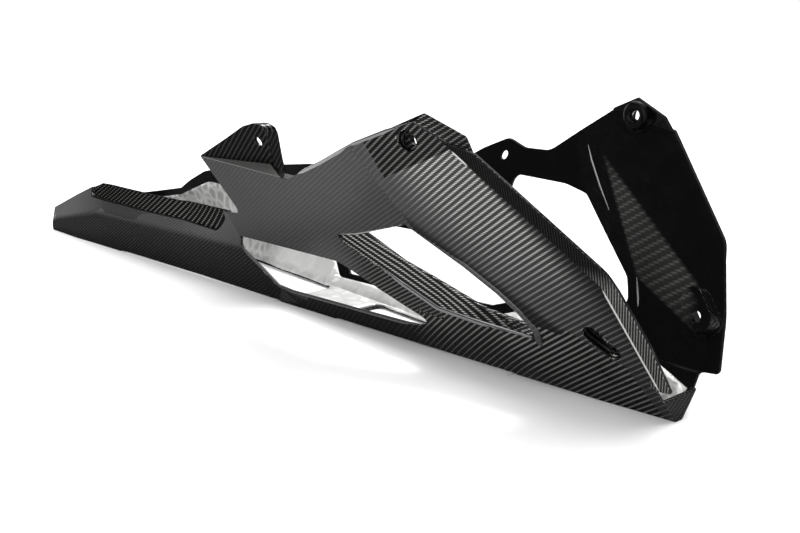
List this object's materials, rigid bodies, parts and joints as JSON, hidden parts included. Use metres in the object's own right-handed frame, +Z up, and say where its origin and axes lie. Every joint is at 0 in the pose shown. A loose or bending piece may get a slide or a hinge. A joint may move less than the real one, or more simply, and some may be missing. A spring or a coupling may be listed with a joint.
{
  "type": "motorcycle belly pan",
  "caption": "Carbon-fibre motorcycle belly pan: open V-shaped trough with cut-out side walls, slots, bolt cups, a joggled tail edge and a foil heat shield inside.",
  "frame": {"origin": "middle of the bounding box, on the surface that the pan stands on", "axes": "+X forward along the motorcycle, +Y to the rider's left, +Z up"},
  "size_m": [0.724, 0.1965, 0.1603],
  "materials": {
    "carbon_laminate": "clear-coated twill carbon laminate",
    "heat_foil": "crinkled self-adhesive foil"
  },
  "bodies": {
    "root": {"pan_shell": "carbon_laminate", "heat_shield_liner": "heat_foil"}
  },
  "joints": []
}
